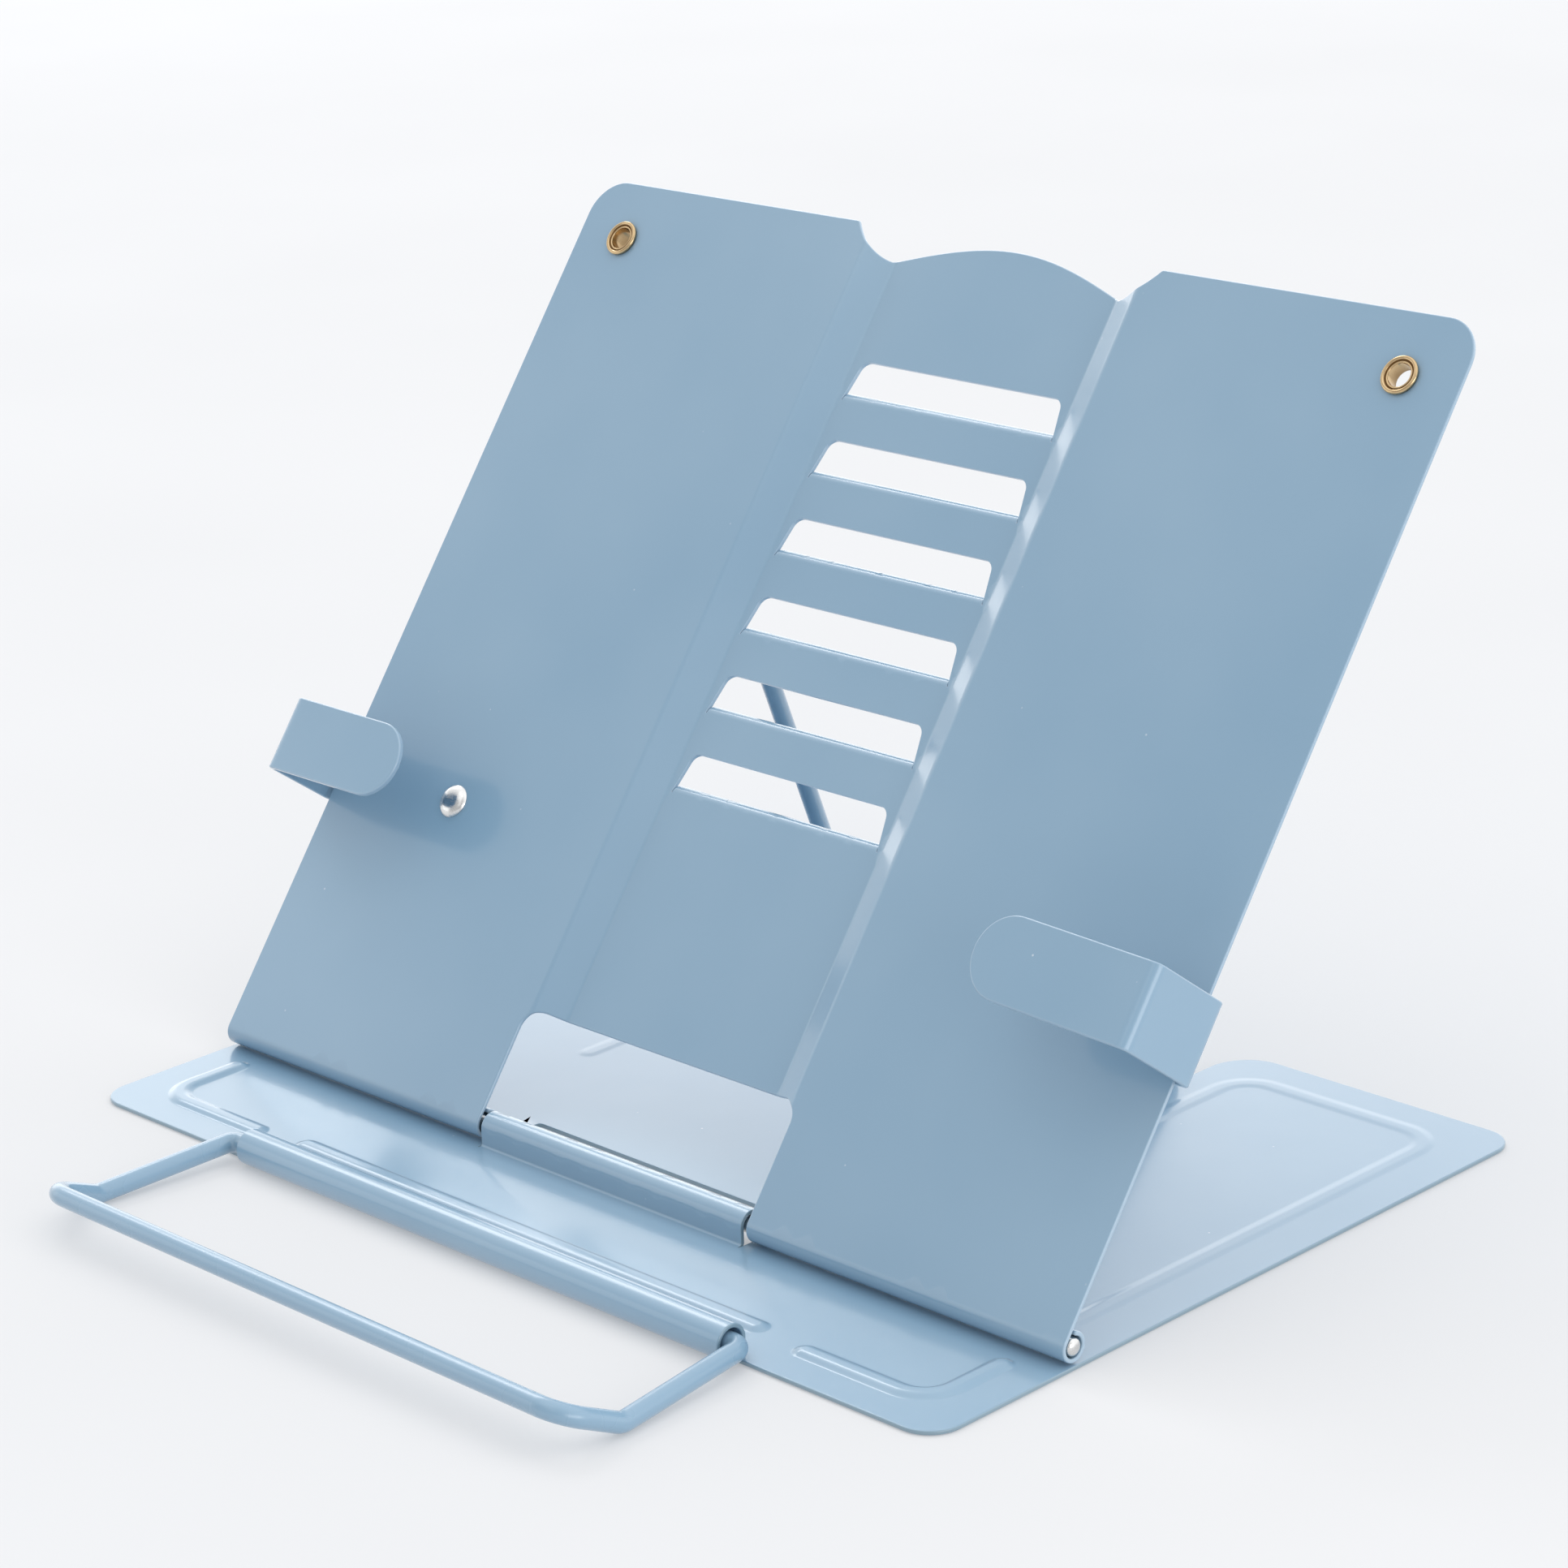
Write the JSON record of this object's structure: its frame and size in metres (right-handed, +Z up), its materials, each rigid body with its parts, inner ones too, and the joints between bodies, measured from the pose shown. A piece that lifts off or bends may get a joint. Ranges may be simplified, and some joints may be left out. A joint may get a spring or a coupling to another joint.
{
  "type": "book stand",
  "caption": "Folding desktop book stand of painted sheet steel: slotted back plate on a hinge, wire prop, swinging wire page bail and sliding side arms.",
  "frame": {"origin": "middle of the bounding box's footprint, on the table that the stand rests on", "axes": "+Z up, -Y towards the reader, X along the hinge"},
  "size_m": [0.2136, 0.1936, 0.1495],
  "materials": {
    "powder_coat": "satin pale blue powder coat on sheet steel and wire",
    "bare_steel": "bright bare steel",
    "brass": "polished brass"
  },
  "bodies": {
    "base": {"base_plate": "powder_coat", "hinge_pin": "bare_steel"},
    "plate": {"back_plate": "powder_coat", "arm_rivet_left": "bare_steel", "arm_rivet_right": "bare_steel", "arm_washer_left": "bare_steel", "arm_washer_right": "bare_steel", "eyelet_left": "brass", "eyelet_right": "brass", "eyelet_washer_left": "brass", "eyelet_washer_right": "brass"},
    "prop": {"prop_wire": "powder_coat"},
    "bail": {"bail_wire": "powder_coat"},
    "arm_left": {"arm_left": "powder_coat"},
    "arm_right": {"arm_right": "powder_coat"}
  },
  "joints": [
    {"name": "plate_lift", "type": "hinge", "parent": "base", "child": "plate", "pos_m": [0, -0.02151, 0.0038], "axis": [1, 0, 0], "range_deg": [0, 74]},
    {"name": "prop_fold", "type": "hinge", "parent": "base", "child": "prop", "pos_m": [0, 0.08199, 0.0032], "axis": [1, 0, 0], "range_deg": [0, 58.5]},
    {"name": "bail_swing", "type": "hinge", "parent": "base", "child": "bail", "pos_m": [0, -0.05501, 0.00325], "axis": [-1, 0, 0], "range_deg": [0, 80]},
    {"name": "arm_left_slide", "type": "slide", "parent": "plate", "child": "arm_left", "axis": [-1, 0, 0], "range_m": [0, 0.025]},
    {"name": "arm_right_slide", "type": "slide", "parent": "plate", "child": "arm_right", "axis": [1, 0, 0], "range_m": [0, 0.025]}
  ],
  "couplings": [
    {"joint": "prop_fold", "follows": "plate_lift", "ratio": 0.79}
  ]
}
